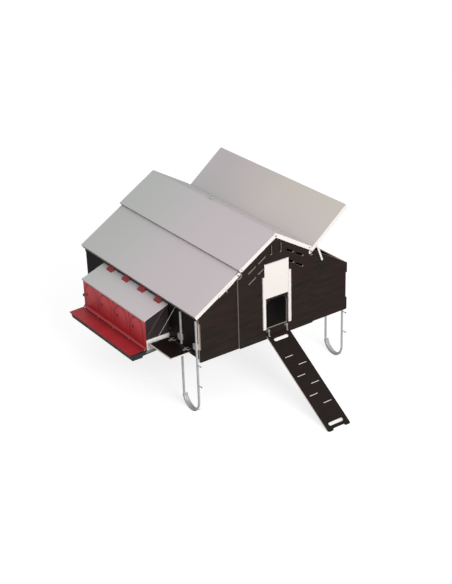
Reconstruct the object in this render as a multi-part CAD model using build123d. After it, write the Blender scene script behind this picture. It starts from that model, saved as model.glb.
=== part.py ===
"""Mobile chicken coop on four U-legs, with an outside nest box, pop door and ramp.

Units are millimetres. The model is drawn in the body frame: X across the gable, Y from the
front gable's face to the back, Z up from the gable's bottom edge. Every piece is then moved
so that the origin is the centre of the footprint, on the ground.
"""
from build123d import *

from math import atan2, cos, degrees, radians, sin, sqrt, tan
import os

# ---- body ----
PLY = 18.0                    # film-faced plywood
BODY_LENGTH = 2375.0          # over the centre gable panels
BODY_HALF = 1000.0            # half width over the side walls
CENTRE_HALF = 500.0           # half width of a centre gable panel
WING_LAP = 60.0               # how far a wing runs behind the centre panel
WALL_BOTTOM = 36.0
FLOOR_Z = 60.0
CORNER_R = 12.0

# ---- roof ----
PITCH = 31.0
RIDGE_Z = 1216.0              # outer surface of the ridge section at the ridge
LOWER_RIDGE_Z = 1180.0        # outer surface of the lower panels, carried on to the ridge
RIDGE_HALF = 483.0
EAVE_HALF = 1045.0
SHEET = 2.0
FLANGE = 45.0
EAVE_LIP = 52.0
DRIP_LIP = 29.0
SEAT_GAP = 0.7                # between a plywood edge and the sheet above it
PIVOT_X = 484.0
PIVOT_Z = 861.5
PIVOT_R = 6.0
EYE_STEM_R = 4.0              # lifting eye on the ridge
NOTCH_R = 41.0                # cut-out of the centre panel around a roof pivot
OPEN_ANGLE = 69.4             # how far a lower panel opens on its stay
STAY_U = 95.0                 # stay rivet, along the panel from the pivot
STAY_N = -10.0                # stay rivet, up from the pivot
STAY_STUD_R = 4.0
STAY_HOOK = (634.0, 723.0)    # hook bolt on the wing

# ---- ground, legs ----
GROUND_Z = -645.0
TUBE_R = 12.5
TUBE_WALL = 2.0
OUTSIDE_LEG = 1014.0          # tube axis of a leg outside its wall, from the middle
INSIDE_LEG = 963.0            # tube axis of the leg inside the right wall, from the middle
REAR_INSIDE_LEG = 940.0       # tube axis of the leg inside the left wall, from the middle
LEG_NEAR_Y = 50.0             # from the gable to a leg's nearer upright
LEG_SPAN = 288.0              # between the two uprights of a leg
SKID_THICK = 3.0
SKID_WIDE = 64.0              # the skid is set to one side of the tube
SKID_ANGLES = (-12.0, -132.0)
LEG_TOP_Z = 485.0
CLAMP_Z = 150.0
CLAMP_HEIGHT = 65.0
CLAMP_NEAR = 13.8             # clamp block, from the tube's axis towards the gable
CLAMP_FAR = 44.0              # and away from it
CLAMP_REACH = 17.0            # clamp block, from the tube's axis away from the wall
CAP_HIGH = 5.0                # head of a clamp's cap screw
BORE_GAP = 0.4
BOLT_R = 4.0
STOP_REACH = 66.0             # end of a stop bolt's knob, from the tube's axis
PIN_HOLE_R = 5.0
STOP_BOLT_Z = (-29.0, -276.0)
PIN_HOLE_Z = (-262.0, -412.0)

# ---- pop hole, door, ramp ----
HOLE_HALF = 140.0
HOLE_Z = (125.0, 462.0)
HOLE_R = 75.0
DOOR_HALF = 160.0
DOOR_Z = (490.0, 896.0)       # raised
DOOR_THICK = 3.0
GRIP_HALF = 148.0             # half width of the grip folded out of the door's top edge
RAIL_Z = (128.0, 748.0)
RAIL_X = (152.0, 188.0)
RAIL_DEEP = 14.0
RAMP_HALF = 151.0
RAMP_THICK = 15.0
RAMP_AXIS = (-14.0, 106.0)    # Y, Z of the two ramp eyes
RAMP_TOP = (-14.0, 50.0)      # Y, Z of the board's upper edge, top face
RAMP_FOOT_Y = -1066.0
CLEAT_LONG = 105.0
CLEAT_WIDE = 6.0
CLEAT_HIGH = 4.0
GRIP_FIRST = 312.0            # first cleat, from the ramp's upper edge
GRIP_STEP = 126.0
HAND_SLOTS = (76.0, 1182.0)   # from the ramp's upper edge
EYE_X = 122.0

# ---- nest box on the left wall ----
NEST_Y = 599.0
CELL = 328.0
CELLS = 4
NEST_OUT_X = -1290.0
LID_OUT_X = -1308.0
NEST_TOP_Z = 475.0            # outer face of the lid at the wall
END_LOW_Z = 122.0
SKIRT_LOW_Z = -5.0
LID_FALL = 0.366              # fall of the sloping top, across from the wall
FRONT_THICK = 7.0
FRONT_LOW_Z = 16.0
FOOT_OUT_X = -1316.5          # outer edge of the cove at a front's foot
RELIEF = 5.0                  # height of the arch on a front
ARCH_R = 126.0
ARCH_TOP_Z = 340.0
FINGER_Y = 86.0               # finger hole, from the middle of a front
FINGER_Z = 192.0
COVER_AXIS = (-1322.0, 9.0)
COVER_OUT = (-1501.0, 3.0)
PIN_R = 2.5                   # pin of the egg cover
LUG_HALF = 7.0                # half width of a lug that holds it
LID_AXIS = (-1012.5, 487.0)
KNUCKLE_R = 11.0
HINGE_Y = 140.0               # middle of a lid hinge, from the start of its cell
HINGE_HALF = 54.0
HINGE_REACH = 44.0
ROD_R = 4.0

# ---- fold-down shelf beside the nest ----
SHELF_Y = (133.0, 544.0)
SHELF_Z = 104.0
SHELF_AXIS_X = -1047.0
SHELF_OUT_X = -1281.0
STAY_TOP = (-1010.0, 436.0, 497.0)
STAY_END = (-1216.0, 531.0, 116.0)

TAN = tan(radians(PITCH))
COS = cos(radians(PITCH))
SIN = sin(radians(PITCH))
NEST_END_Y = NEST_Y + CELLS * CELL
RAMP_RUN = RAMP_TOP[0] - RAMP_FOOT_Y
RAMP_DROP = RAMP_TOP[1] - GROUND_Z
RAMP_SLOPE = degrees(atan2(RAMP_DROP, RAMP_RUN))
RAMP_LONG = sqrt(RAMP_RUN ** 2 + RAMP_DROP ** 2)
LEFT_END = COVER_OUT[0]
RIGHT_END = OUTSIDE_LEG + CLAMP_REACH + CAP_HIGH
BACK_END = BODY_LENGTH - LEG_NEAR_Y + STOP_REACH
ORIGIN = Vector(-(LEFT_END + RIGHT_END) / 2, -(RAMP_FOOT_Y + BACK_END) / 2, -GROUND_Z)


# ---------------------------------------------------------------- helpers
def box(x0, x1, y0, y1, z0, z1):
    """A box from its two corners."""
    size = (abs(x1 - x0), abs(y1 - y0), abs(z1 - z0))
    return Pos((x0 + x1) / 2, (y0 + y1) / 2, (z0 + z1) / 2) * Box(*size)


def slab_xz(points, y0, y1):
    """A prism along Y, from y0 to y1, with its outline given as X, Z points."""
    face = make_face(Polyline([(x, y0, z) for x, z in points], close=True))
    return extrude(face, amount=y1 - y0, dir=(0, 1, 0))


def slab_yz(points, x0, x1):
    """A prism along X, from x0 to x1, with its outline given as Y, Z points."""
    face = make_face(Polyline([(x0, y, z) for y, z in points], close=True))
    return extrude(face, amount=x1 - x0, dir=(1, 0, 0))


def rod(start, end, radius, bore=0.0):
    """A round bar, or a tube, between two points."""
    start = Vector(*start)
    end = Vector(*end)
    plane = Plane(origin=start, z_dir=end - start)
    length = (end - start).length
    bar = extrude(plane * Circle(radius), amount=length)
    if bore:
        bar -= extrude(plane * Circle(bore), amount=length)
    return bar


def slot_cut(x, z, length, width, angle, y0, y1):
    """A round-ended cutter through a gable panel, centred on X, Z."""
    cutter = extrude(SlotOverall(length, width), amount=abs(y1 - y0) / 2, both=True)
    return Pos(x, (y0 + y1) / 2, z) * Rot(0, -angle, 0) * Rot(90, 0, 0) * cutter


def mirror_x(shape):
    return mirror(shape, about=Plane.YZ)


def to_back(shape):
    """The same piece at the back gable."""
    return mirror(shape, about=Plane.XZ.offset(-BODY_LENGTH / 2))


def save(name, *solids):
    """Move the pieces to the row's origin and write them as one node."""
    placed = [solid.moved(Location(ORIGIN)) for solid in solids]
    flat = [solid for piece in placed for solid in piece.solids()]
    shape = flat[0] if len(flat) == 1 else Compound(children=flat)
    export_step(shape, f"parts/{name}.step")


def slope_point(s, n):
    """X, Z of a point on the ridge section: s down the slope, n in from its outer face."""
    return (s * COS - n * SIN, RIDGE_Z - s * SIN - n * COS)


def panel_point(u, n):
    """X, Z of a point on the right-hand lower panel when it is shut, from its pivot."""
    return (PIVOT_X + u * COS + n * SIN, PIVOT_Z - u * SIN + n * COS)


# ---------------------------------------------------------------- gables and walls
def gable_centre(with_pop_hole):
    """Tall middle panel: notched round the roof pivots, with vent slots and a pop hole."""
    run = RIDGE_HALF / COS - SHEET - 1.0
    edge = SHEET + SEAT_GAP
    side = [(CENTRE_HALF, 0), (CENTRE_HALF, 850), (465, 880)]
    side += [slope_point(run, 31), slope_point(run, edge)]
    apex = (0, RIDGE_Z - edge / COS)
    outline = side + [apex] + [(-x, z) for x, z in reversed(side)]
    panel = slab_xz(outline, 0, PLY)
    low_corners = panel.edges().filter_by(Axis.Y).group_by(Axis.Z)[0]
    panel = fillet(low_corners, CORNER_R)
    for side_sign in (-1, 1):
        pivot = (side_sign * PIVOT_X, -1, PIVOT_Z)
        panel -= rod(pivot, (pivot[0], PLY + 1, PIVOT_Z), NOTCH_R)
        for x, z in ((186, 960), (319, 880), (192, 838), (317, 757)):
            panel -= slot_cut(side_sign * x, z, 118, 24, -side_sign * PITCH, -1, PLY + 1)
        panel -= slot_cut(side_sign * 63, 1037, 115, 24, 90, -1, PLY + 1)
    if with_pop_hole:
        hole = box(-HOLE_HALF, HOLE_HALF, -1, PLY + 1, *HOLE_Z)
        hole = fillet(hole.edges().filter_by(Axis.Y).group_by(Axis.Z)[-1], HOLE_R)
        panel -= hole
    return panel


def gable_wing():
    """Right-hand outer panel, one thickness behind the centre one, with two joint tabs."""
    inner = CENTRE_HALF - WING_LAP
    top = LOWER_RIDGE_Z - (SHEET + SEAT_GAP) / COS
    inset = BODY_HALF - PLY
    outline = [
        (inner, 0), (BODY_HALF, 0), (BODY_HALF, 150), (inset, 150), (inset, 458),
        (BODY_HALF, 458), (BODY_HALF, top - BODY_HALF * TAN), (inner, top - inner * TAN),
    ]
    panel = slab_xz(outline, PLY, 2 * PLY)
    corner = panel.edges().filter_by(Axis.Y).sort_by_distance((BODY_HALF, PLY, 0))[0]
    panel = fillet(corner, CORNER_R)
    return panel - rod((PIVOT_X, 0, PIVOT_Z), (PIVOT_X, 3 * PLY, PIVOT_Z), PIVOT_R)


def side_wall():
    """Left wall, outer face at -BODY_HALF."""
    top = LOWER_RIDGE_Z - 4.0 - BODY_HALF * TAN
    inner_x = -BODY_HALF + PLY
    return box(-BODY_HALF, inner_x, 2 * PLY, BODY_LENGTH - 2 * PLY, WALL_BOTTOM, top)


def leg_columns():
    """Y of the near and far uprights of a front leg and of a back leg."""
    far = LEG_NEAR_Y + LEG_SPAN
    return (LEG_NEAR_Y, far), (BODY_LENGTH - LEG_NEAR_Y, BODY_LENGTH - far)


def floor_panel():
    """Plywood floor with edge notches for the two inside legs."""
    half = BODY_HALF - PLY
    panel = box(-half, half, 2 * PLY, BODY_LENGTH - 2 * PLY, FLOOR_Z, FLOOR_Z + PLY)
    front, back = leg_columns()
    reach = TUBE_R + 1.0
    for x, columns, edge in ((INSIDE_LEG, front, half + 1), (-REAR_INSIDE_LEG, back, -half - 1)):
        for y in columns:
            panel -= rod((x, y, FLOOR_Z - 1), (x, y, FLOOR_Z + PLY + 1), reach)
            panel -= box(x, edge, y - reach, y + reach, FLOOR_Z - 1, FLOOR_Z + PLY + 1)
    return panel


def floor_joists():
    """Three timbers under the floor."""
    half = BODY_HALF - PLY
    return [box(-half, half, y - 22, y + 22, 2, FLOOR_Z) for y in (600, BODY_LENGTH / 2, 1775)]


def perch_rails():
    """Three roosting rails from gable to gable."""
    rails = []
    for x, deep in ((-300, PLY), (220, PLY), (640, 2 * PLY)):
        rails.append(box(x - 22, x + 22, deep, BODY_LENGTH - deep, 370, 402))
    return rails


# ---------------------------------------------------------------- roof
def roof_ridge():
    """Folded ridge section: two slopes, a drip lip along each side and an end flange on each gable."""
    run = RIDGE_HALF / COS
    y0 = -SHEET
    y1 = BODY_LENGTH + SHEET
    apex_in = RIDGE_Z - SHEET / COS
    lip_in = slope_point(run - SHEET, SHEET)
    half = [slope_point(run, 0), slope_point(run, DRIP_LIP)]
    half += [slope_point(run - SHEET, DRIP_LIP), lip_in]
    outline = [(0, RIDGE_Z)] + half + [(0, apex_in)]
    outline += [(-x, z) for x, z in reversed(half)]
    skin = slab_xz(outline, y0, y1)
    end = [slope_point(run, 1), slope_point(run, DRIP_LIP), slope_point(run - 18, FLANGE)]
    flange_outline = [(0, RIDGE_Z - 1)] + end + [(0, RIDGE_Z - FLANGE / COS)]
    flange_outline += [(-x, z) for x, z in reversed(end)]
    skin += slab_xz(flange_outline, y0, 0) + slab_xz(flange_outline, BODY_LENGTH, y1)
    middle = BODY_LENGTH / 2
    return skin - rod((0, middle, RIDGE_Z - 20), (0, middle, RIDGE_Z + 1), EYE_STEM_R)


def lower_panel():
    """Right-hand lower roof panel, shut: skin, eave lip, and end flanges that carry the pivots."""
    run = (EAVE_HALF - PIVOT_X - 24.1 * SIN) / COS
    top = 24.1
    gap = 0.5
    front = PLY - gap - SHEET
    back = BODY_LENGTH - front
    skin_outline = [(16, top), (run, top), (run, top - EAVE_LIP), (run - SHEET, top - EAVE_LIP),
                    (run - SHEET, top - SHEET), (16, top - SHEET)]
    skin = slab_xz([panel_point(u, n) for u, n in skin_outline], front, back)
    tail_outline = [(-36, top), (17, top), (17, top - SHEET), (-36, top - SHEET)]
    skin += slab_xz([panel_point(u, n) for u, n in tail_outline], 2 * PLY + 4, BODY_LENGTH - 2 * PLY - 4)
    mid = top - FLANGE / 2
    flange_outline = [(-12, top), (run, top), (run, top - FLANGE), (-12, top - FLANGE)]
    for y0 in (front, back - SHEET):
        flange = slab_xz([panel_point(u, n) for u, n in flange_outline], y0, y0 + SHEET)
        ear = panel_point(-12, mid)
        flange += rod((ear[0], y0, ear[1]), (ear[0], y0 + SHEET, ear[1]), FLANGE / 2)
        flange -= rod((PIVOT_X, y0 - 1, PIVOT_Z), (PIVOT_X, y0 + SHEET + 1, PIVOT_Z), PIVOT_R + 0.06)
        skin += flange
    x, z = panel_point(STAY_U, STAY_N)
    return skin - rod((x, front - 1, z), (x, front + SHEET + 1, z), STAY_STUD_R + 0.06)


def swing(shape, angle):
    """Turn a right-hand roof piece open about its pivot."""
    axis = Axis((PIVOT_X, 0, PIVOT_Z), (0, -1, 0))
    return shape.rotate(axis, angle)


def open_rivet():
    """X, Z of the stay's rivet when the right-hand panel is open."""
    x, z = panel_point(STAY_U, STAY_N)
    dx = x - PIVOT_X
    dz = z - PIVOT_Z
    turn = radians(OPEN_ANGLE)
    return (PIVOT_X + dx * cos(turn) - dz * sin(turn), PIVOT_Z + dx * sin(turn) + dz * cos(turn))


def stay_bar(start, angle):
    """Flat stay with its rivet at start, reaching out at an angle from level."""
    x0, z0 = start
    x1, z1 = STAY_HOOK
    reach = sqrt((x1 - open_rivet()[0]) ** 2 + (z1 - open_rivet()[1]) ** 2)
    middle_x = x0 + reach / 2 * cos(radians(angle))
    middle_z = z0 + reach / 2 * sin(radians(angle))
    bar = slot_cut(middle_x, middle_z, reach + 22, 22, angle, 8, 11)
    bar += rod((x0, 5, z0), (x0, 8.5, z0), 8.0)
    bar += rod((x0, 8, z0), (x0, PLY - 0.6, z0), STAY_STUD_R)
    return bar + rod((x0, 10, z0), (x0, PLY - 2.8, z0), 7.0)


def stay_open_angle():
    """Angle of the stay from level when the right-hand panel rests on it."""
    x0, z0 = open_rivet()
    return degrees(atan2(STAY_HOOK[1] - z0, STAY_HOOK[0] - x0))


def pivot_bolt():
    """Front right roof pivot: shank through flange and wing, washer head, nut behind."""
    x, z = PIVOT_X, PIVOT_Z
    bolt = rod((x, 8, z), (x, 2 * PLY + 8, z), PIVOT_R)
    bolt += rod((x, 3, z), (x, PLY - SHEET - 1.5, z), 11.0)
    return bolt + rod((x, 2 * PLY, z), (x, 2 * PLY + 8, z), 10.0)


def hook_bolt():
    """Bolt on the front right wing that the stay's free end rests on."""
    x, z = STAY_HOOK
    return rod((x, 12.5, z), (x, PLY, z), 9.0)


def ridge_eye():
    """Lifting eye in the middle of the ridge."""
    y = BODY_LENGTH / 2
    stem = rod((0, y, RIDGE_Z - 22), (0, y, RIDGE_Z + 12), EYE_STEM_R - 0.1)
    stem += rod((0, y, RIDGE_Z - 20), (0, y, RIDGE_Z - 12), 9.0)
    ring = Pos(0, y, RIDGE_Z + 26) * Rot(90, 0, 0) * Torus(14, 4)
    return stem + ring


def ridge_screws():
    """Screws that hold the ridge section's flanges to both gables."""
    screws = []
    for s, n in ((25, 26), (535, 20)):
        x, z = slope_point(s, n)
        for sign in (-1, 1):
            head = rod((sign * x, -5, z), (sign * x, -SHEET, z), 7.0)
            screws += [head, to_back(head)]
    return screws


# ---------------------------------------------------------------- pop door and ramp
def door_rail():
    """Right-hand rail with a groove for the door's edge."""
    rail = box(RAIL_X[0], RAIL_X[1], -RAIL_DEEP, 0, *RAIL_Z)
    return rail - box(RAIL_X[0] - 1, DOOR_HALF + 4, -10, -4, RAIL_Z[0] + 2, RAIL_Z[1] + 1)


def pop_door():
    """Sliding sheet door, raised, with a folded grip along its top."""
    low, high = DOOR_Z
    y0 = -7 - DOOR_THICK / 2
    panel = box(-DOOR_HALF, DOOR_HALF, y0, y0 + DOOR_THICK, low, high)
    return panel + box(-GRIP_HALF, GRIP_HALF, y0 - 10, y0 + 1, high - DOOR_THICK, high)


def ramp_plane():
    """Plane of the ramp's top face: X across, Y up the slope, origin at its upper edge."""
    tilt = radians(RAMP_SLOPE)
    origin = (0, RAMP_TOP[0], RAMP_TOP[1])
    return Plane(origin=origin, x_dir=(1, 0, 0), z_dir=(0, -sin(tilt), cos(tilt)))


def ramp_board():
    """Ramp with two hand slots and a foot notched between two round toes, bevelled to the ground."""
    board = box(-RAMP_HALF, RAMP_HALF, -RAMP_LONG, 0, -RAMP_THICK, 0)
    board = fillet(board.edges().filter_by(Axis.Z).group_by(Axis.Y)[-1], 10)
    board = fillet(board.edges().filter_by(Axis.Z).group_by(Axis.Y)[0], 22)
    inner = RAMP_HALF - 72
    notch = box(-inner, inner, -RAMP_LONG - 1, -RAMP_LONG + 22, -RAMP_THICK - 1, 1)
    board -= fillet(notch.edges().filter_by(Axis.Z).group_by(Axis.Y)[-1], 18)
    for s in HAND_SLOTS:
        board -= Pos(0, -s, -RAMP_THICK - 1) * extrude(SlotOverall(190, 38), amount=RAMP_THICK + 2)
    placed = ramp_plane() * board
    return placed - box(-RAMP_HALF - 1, RAMP_HALF + 1, RAMP_FOOT_Y - 60, 0, GROUND_Z - 60, GROUND_Z)


def ramp_cleats():
    """Six grip cleats, alternately left and right."""
    cleats = []
    for index in range(6):
        x = -52 if index % 2 == 0 else 50
        strip = extrude(SlotOverall(CLEAT_LONG, CLEAT_WIDE), amount=CLEAT_HIGH)
        cleat = Pos(x, -GRIP_FIRST - GRIP_STEP * index, 0) * strip
        cleats.append(ramp_plane() * cleat)
    return cleats


def ramp_hooks():
    """Two straps on the ramp, each with a loop round one of the eyes' pins."""
    hooks = []
    y, z = RAMP_AXIS
    for x in (-EYE_X, EYE_X):
        loop = rod((x - 8, y, z), (x + 8, y, z), 10.0)
        arm_outline = [(y - 10, z), (y - 4, z - 9)]
        arm_outline += [(RAMP_TOP[0] + 4, RAMP_TOP[1] + 8), (RAMP_TOP[0] - 8, RAMP_TOP[1] + 4)]
        arm = slab_yz(arm_outline, x - 8, x + 8)
        plate = ramp_plane() * Pos(x, -13, 2.5) * Box(16, 22, 5)
        hook = loop + arm + plate
        hooks.append(hook - rod((x - 9, y, z), (x + 9, y, z), 5.06))
    return hooks


def ramp_eyes():
    """Two eyes on the gable below the sill: a fork plate and a cross pin each."""
    eyes = []
    y, z = RAMP_AXIS
    for x in (-EYE_X, EYE_X):
        eye = rod((x - 16, y, z), (x + 16, y, z), 5.0)
        for cheek in (x - 14, x + 10):
            eye += box(cheek, cheek + 4, y - 7, 0, z - 8, z + 8)
        eyes.append(eye + box(x - 18, x + 18, -2.5, 0, z - 22, z + 9))
    return eyes


# ---------------------------------------------------------------- legs
def leg(columns, x):
    """U-bent tube with cross holes, and a curved skid welded under the bend."""
    near, far = columns
    middle = (near + far) / 2
    radius = LEG_SPAN / 2
    bend_z = GROUND_Z + SKID_THICK + TUBE_R + radius
    path = Line((x, near, LEG_TOP_Z), (x, near, bend_z))
    path += ThreePointArc((x, near, bend_z), (x, middle, bend_z - radius), (x, far, bend_z))
    path += Line((x, far, bend_z), (x, far, LEG_TOP_Z))
    start = Plane(origin=(x, near, LEG_TOP_Z), z_dir=(0, 0, -1))
    tube = sweep(start * (Circle(TUBE_R) - Circle(TUBE_R - TUBE_WALL)), path=path)
    for z in PIN_HOLE_Z:
        tube -= rod((x - 20, far, z), (x + 20, far, z), PIN_HOLE_R)
    for z in STOP_BOLT_Z:
        tube -= rod((x, near - 20, z), (x, near + 20, z), BOLT_R)
    return tube + skid(middle, bend_z, radius + TUBE_R, 1 if far > near else -1, x)


def skid(middle, bend_z, radius, direction, x):
    """Part of a ring under the bend, set to the right of the tube."""
    x0 = x - TUBE_R
    x1 = x0 + SKID_WIDE
    ring = rod((x0, middle, bend_z), (x1, middle, bend_z), radius + SKID_THICK, radius - 0.4)
    wedge = [(middle, bend_z)]
    first, last = SKID_ANGLES
    for step in range(4):
        angle = radians(first + (last - first) * step / 3)
        wedge.append((middle + direction * 2 * radius * cos(angle), bend_z + 2 * radius * sin(angle)))
    return ring & slab_yz(wedge, x0 - 1, x1 + 1)


def stop_bolts(columns, x):
    """Two long bolts through the near upright, each with a round knob on the outside."""
    near, far = columns
    direction = 1 if far > near else -1
    bolts = []
    for z in STOP_BOLT_Z:
        bolt = rod((x, near + direction * 17, z), (x, near - direction * 56, z), BOLT_R)
        bolt += rod((x, near - direction * 54, z), (x, near - direction * STOP_REACH, z), 7.5)
        bolts.append(bolt)
    return bolts


def leg_clamps(columns, x, wall_x):
    """A clamp block on each upright, against the wall face."""
    blocks = []
    away = 1 if x > wall_x else -1
    direction = 1 if columns[1] > columns[0] else -1
    for y in columns:
        y0 = y - direction * CLAMP_NEAR
        y1 = y + direction * CLAMP_FAR
        block = box(wall_x, x + away * CLAMP_REACH, y0, y1, CLAMP_Z, CLAMP_Z + CLAMP_HEIGHT)
        block -= rod((x, y, CLAMP_Z - 1), (x, y, CLAMP_Z + CLAMP_HEIGHT + 1), TUBE_R + BORE_GAP)
        blocks.append(block)
    return blocks


def clamp_bolts(columns, x, wall_x):
    """Two cap screws on each clamp block."""
    bolts = []
    away = 1 if x > wall_x else -1
    direction = 1 if columns[1] > columns[0] else -1
    face = x + away * CLAMP_REACH
    for y in columns:
        for z in (CLAMP_Z + 14, CLAMP_Z + CLAMP_HEIGHT - 14):
            bolt_y = y + direction * 29
            bolts.append(rod((face, bolt_y, z), (face + away * CAP_HIGH, bolt_y, z), 5.0))
    return bolts


# ---------------------------------------------------------------- nest box
def lid_z(x, down=0.0):
    """Height of the lid's outer face at x, or of a line a given depth below it."""
    return NEST_TOP_Z + (x + BODY_HALF) * LID_FALL - down * sqrt(1 + LID_FALL ** 2)


def nest_end(y0, y1, low, down):
    """Upright nest sheet in the X, Z plane: an end plate or a partition."""
    top = [(-BODY_HALF, lid_z(-BODY_HALF, down)), (NEST_OUT_X, lid_z(NEST_OUT_X, down))]
    return slab_xz(top + [(NEST_OUT_X, low), (-BODY_HALF, low)], y0, y1)


def nest_front(index):
    """Red moulded front of one cell: plate with a coved foot, raised arch and a finger hole."""
    y0 = NEST_Y + index * CELL + 1
    y1 = y0 + CELL - 2
    x0 = NEST_OUT_X - FRONT_THICK
    top = lid_z(x0, 4.0)
    low = FRONT_LOW_Z
    outline = [(NEST_OUT_X, top), (x0, top), (x0, low + 34), (x0 - 4, low + 14)]
    outline += [(x0 - 11, low + 5), (FOOT_OUT_X, low + 2), (FOOT_OUT_X, low), (NEST_OUT_X, low)]
    plate = slab_xz(outline, y0, y1)
    middle = (y0 + y1) / 2
    spring = ARCH_TOP_Z - ARCH_R
    arch = box(x0 - RELIEF, x0, middle - ARCH_R, middle + ARCH_R, FRONT_LOW_Z + 12, spring)
    arch += rod((x0 - RELIEF, middle, spring), (x0, middle, spring), ARCH_R)
    hole_y = middle + FINGER_Y
    finger = box(x0 - 20, NEST_OUT_X + 5, hole_y - 11, hole_y + 11, FINGER_Z - 18, FINGER_Z + 18)
    return plate + arch - fillet(finger.edges().filter_by(Axis.X), 10.5)


def nest_mats():
    """Sloping floor of each cell."""
    mats = []
    for index in range(CELLS):
        y0 = NEST_Y + index * CELL + 6
        outline = [(-BODY_HALF - 1, 96), (NEST_OUT_X + 2, 54), (NEST_OUT_X + 2, 50), (-BODY_HALF - 1, 92)]
        mats.append(slab_xz(outline, y0, y0 + CELL - 12))
    return mats


def egg_tray(index):
    """Sliding tray under one cell: deep trough outside, shallow run-in inside, rims on the rails."""
    y0 = NEST_Y + index * CELL + 6
    y1 = y0 + CELL - 12
    outer = [(-1490, -6), (-1472, -72), (-1348, -72), (-1340, -52), (-1012, -34), (-1012, -6)]
    inner = [(-1486, 1), (-1469, -69), (-1350, -69), (-1342, -49), (-1015, -31), (-1015, 1)]
    tray = slab_xz(outer, y0, y1) - slab_xz(inner, y0 + 3, y1 - 3)
    for rim in (y0 - 4, y1 - 1):
        tray += box(-1325, -1012, rim, rim + 5, -8.5, -6)
    return tray


def tray_rails():
    """Five rails between and beside the trays."""
    rails = []
    for index in range(CELLS + 1):
        y = NEST_Y + index * CELL
        y0 = y + 0.0 if index == 0 else y - 5.0
        y1 = y + 0.0 if index == CELLS else y + 5.0
        rails.append(box(NEST_OUT_X - 12, -BODY_HALF, y0, y1, -30, -9))
    return rails


def egg_cover():
    """Red cover over the trays, with a turned-down edge and a knuckle along each cell."""
    ax, az = COVER_AXIS
    ox, oz = COVER_OUT
    inner = ax - 6
    outline = [(inner, az + 4), (ox, oz + 3), (ox, oz - 6), (ox + 3, oz - 6), (ox + 3, oz), (inner, az + 1)]
    cover = slab_xz(outline, NEST_Y + 1, NEST_END_Y - 1)
    for index in range(CELLS):
        y0 = NEST_Y + index * CELL + LUG_HALF + 1
        y1 = NEST_Y + (index + 1) * CELL - LUG_HALF - 1
        cover += box(inner - 1, ax, y0, y1, az + 1, az + 4)
        cover += rod((ax, y0, az), (ax, y1, az), 4.5)
    return cover - rod((ax, NEST_Y, az), (ax, NEST_END_Y, az), PIN_R + 0.06)


def cover_pin():
    """Pin that the egg cover turns on, held by a cranked lug at each end of every cell."""
    ax, az = COVER_AXIS
    pin = rod((ax, NEST_Y + 0.5, az), (ax, NEST_END_Y - 0.5, az), PIN_R)
    for index in range(CELLS + 1):
        y = NEST_Y + index * CELL
        y0 = max(y - LUG_HALF, NEST_Y + 0.5)
        y1 = min(y + LUG_HALF, NEST_END_Y - 0.5)
        pin += box(ax - 4.5, -1312, y0, y1, az - 4, az + 0.5)
        pin += box(-1316, -1312, y0, y1, az - 4, 15.5)
        pin += box(-1316, NEST_OUT_X, y0, y1, 12.5, 15.5)
    return pin


def nest_lid():
    """Sheet lid with its outer edge and both ends turned down."""
    y0 = NEST_Y - 4
    y1 = NEST_END_Y + 4
    inner = -BODY_HALF - 3
    thick = 2.0
    turn = 14.0
    top = [(inner, lid_z(inner)), (LID_OUT_X, lid_z(LID_OUT_X))]
    under = [(LID_OUT_X, lid_z(LID_OUT_X, thick)), (inner, lid_z(inner, thick))]
    lid = slab_xz(top + under, y0, y1)
    low = lid_z(LID_OUT_X) - turn
    lid += box(LID_OUT_X, LID_OUT_X + thick, y0, y1, low, lid_z(LID_OUT_X, 1))
    end = top + [(LID_OUT_X, low), (inner, lid_z(inner, turn))]
    return lid + slab_xz(end, y0, y0 + thick) + slab_xz(end, y1 - thick, y1)


def lid_hinges():
    """Four red hinges: a leaf on the lid and a knuckle round the rod."""
    leaves = []
    ax, az = LID_AXIS
    inner = -BODY_HALF - 16
    outer = inner - HINGE_REACH
    leaf = [(inner, lid_z(inner)), (outer, lid_z(outer)), (outer, lid_z(outer, -7))]
    leaf += [(ax - 6, az + 7), (ax - 6, az - 7)]
    for index in range(CELLS):
        y = NEST_Y + index * CELL + HINGE_Y
        hinge = slab_xz(leaf, y - HINGE_HALF, y + HINGE_HALF)
        hinge += rod((ax, y - HINGE_HALF, az), (ax, y + HINGE_HALF, az), KNUCKLE_R)
        bore = rod((ax, y - HINGE_HALF - 1, az), (ax, y + HINGE_HALF + 1, az), ROD_R + 0.06)
        leaves.append(hinge - bore)
    return leaves


def lid_rod():
    """Black hinge rod along the wall, with five brackets."""
    ax, az = LID_AXIS
    bar = rod((ax, NEST_Y + 2, az), (ax, NEST_END_Y - 2, az), ROD_R)
    for index in range(CELLS + 1):
        y = NEST_Y + index * CELL
        y = min(max(y, NEST_Y + 12), NEST_END_Y - 12)
        bar += box(ax - 5, -BODY_HALF, y - 8, y + 8, az - 5, az + 5)
    return bar


def end_knob():
    """Round knob on the nest's back end, near its front edge."""
    x, z = -1282.0, 145.0
    stem = rod((x, NEST_END_Y, z), (x, NEST_END_Y + 8, z), 6.0)
    return stem + rod((x, NEST_END_Y + 8, z), (x, NEST_END_Y + 26, z), 20.0)


# ---------------------------------------------------------------- shelf beside the nest
def shelf_sill():
    """Fixed strip on the wall, with a hole for the leg's far upright."""
    far = LEG_NEAR_Y + LEG_SPAN
    sill = box(SHELF_AXIS_X + 8, -BODY_HALF, SHELF_Y[0], SHELF_Y[1], SHELF_Z - PLY, SHELF_Z)
    x = -OUTSIDE_LEG
    sill -= rod((x, far, SHELF_Z - PLY - 1), (x, far, SHELF_Z + 1), TUBE_R + 1.0)
    return sill


def shelf_board():
    """Fold-down shelf, down."""
    board = box(SHELF_OUT_X, SHELF_AXIS_X - 6, SHELF_Y[0], SHELF_Y[1], SHELF_Z - PLY, SHELF_Z)
    corners = board.edges().filter_by(Axis.Z).group_by(Axis.X)[0]
    return fillet(corners, CORNER_R)


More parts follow.
